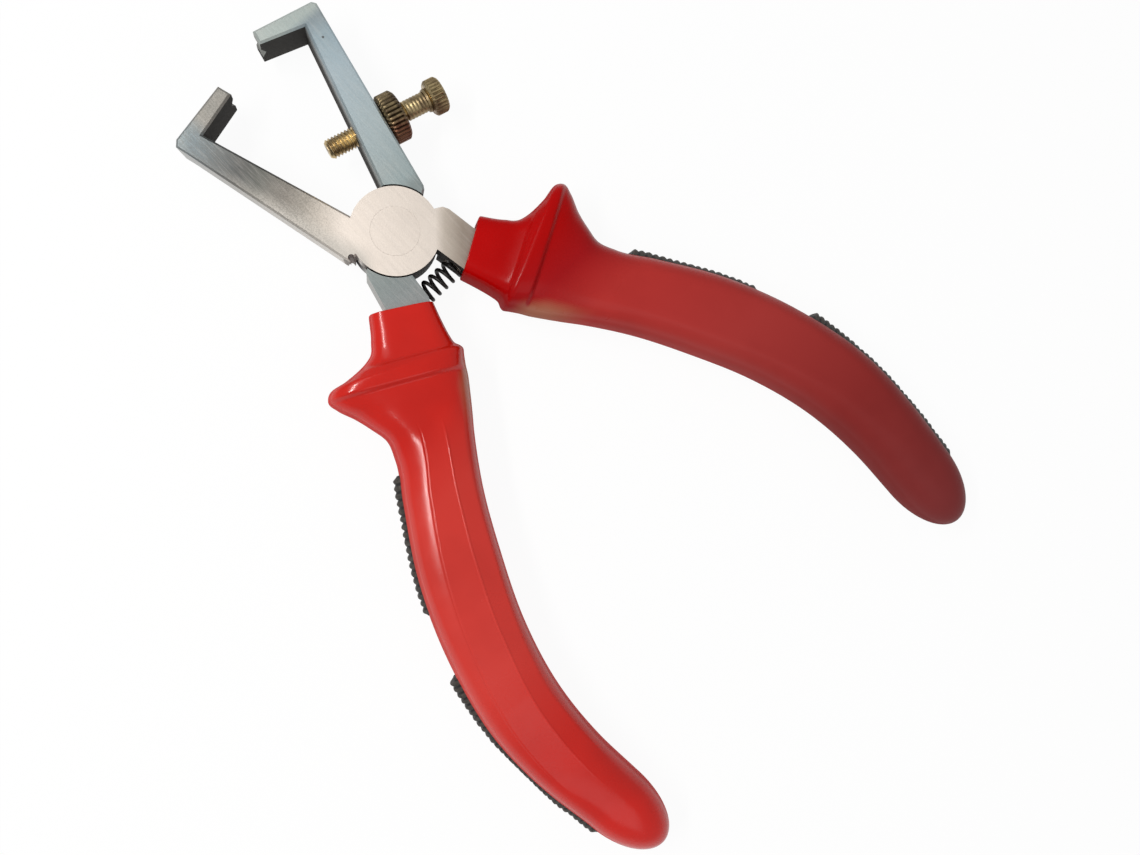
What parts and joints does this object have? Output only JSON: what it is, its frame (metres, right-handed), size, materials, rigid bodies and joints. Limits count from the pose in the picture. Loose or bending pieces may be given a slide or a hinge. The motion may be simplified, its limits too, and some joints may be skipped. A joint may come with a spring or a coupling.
{
  "type": "adjustable wire stripper",
  "caption": "Plier-type wire stripper with hooked jaws, an adjusting stop screw with a knurled lock nut, a return spring and moulded grips with ribbed inserts.",
  "frame": {"origin": "on the pivot axis, at the joint's back face", "axes": "+Y from the pivot towards the jaws, +Z out of the joint's front face along the pivot axis, +X towards the side with the adjusting screw"},
  "size_m": [0.1082, 0.1641, 0.0177],
  "materials": {
    "forged_steel": "satin ground",
    "rivet_steel": "satin ground",
    "screw_brass": "turned, tarnished",
    "nut_brass": "knurled, tarnished",
    "spring_steel": "blackened",
    "grip_red": "moulded",
    "pad_black": "matt"
  },
  "bodies": {
    "back_body": {"back_half": "forged_steel", "pivot_rivet": "rivet_steel", "return_spring": "spring_steel", "left_grip": "grip_red", "left_upper_pad": "pad_black", "left_lower_pad": "pad_black"},
    "front_body": {"front_half": "forged_steel", "right_grip": "grip_red", "right_upper_pad": "pad_black", "right_lower_pad": "pad_black"},
    "screw_body": {"adjusting_screw": "screw_brass"},
    "nut_body": {"lock_nut": "nut_brass"}
  },
  "joints": [
    {"name": "main_hinge", "type": "hinge", "parent": "back_body", "child": "front_body", "pos_m": [0, 0, 0], "axis": [0, 0, 1], "range_deg": [-16.5, 5], "stiffness_Nm_per_rad": 2.5, "deforming": ["return_spring"]},
    {"name": "screw_slide", "type": "slide", "parent": "back_body", "child": "screw_body", "axis": [-0.9686, 0.2487, 0], "range_m": [-0.0035, 0.0035]},
    {"name": "nut_turn", "type": "hinge", "parent": "back_body", "child": "nut_body", "pos_m": [0.00205, 0.01995, 0.00475], "axis": [-0.9686, 0.2487, 0], "range_deg": [0, 270]}
  ]
}
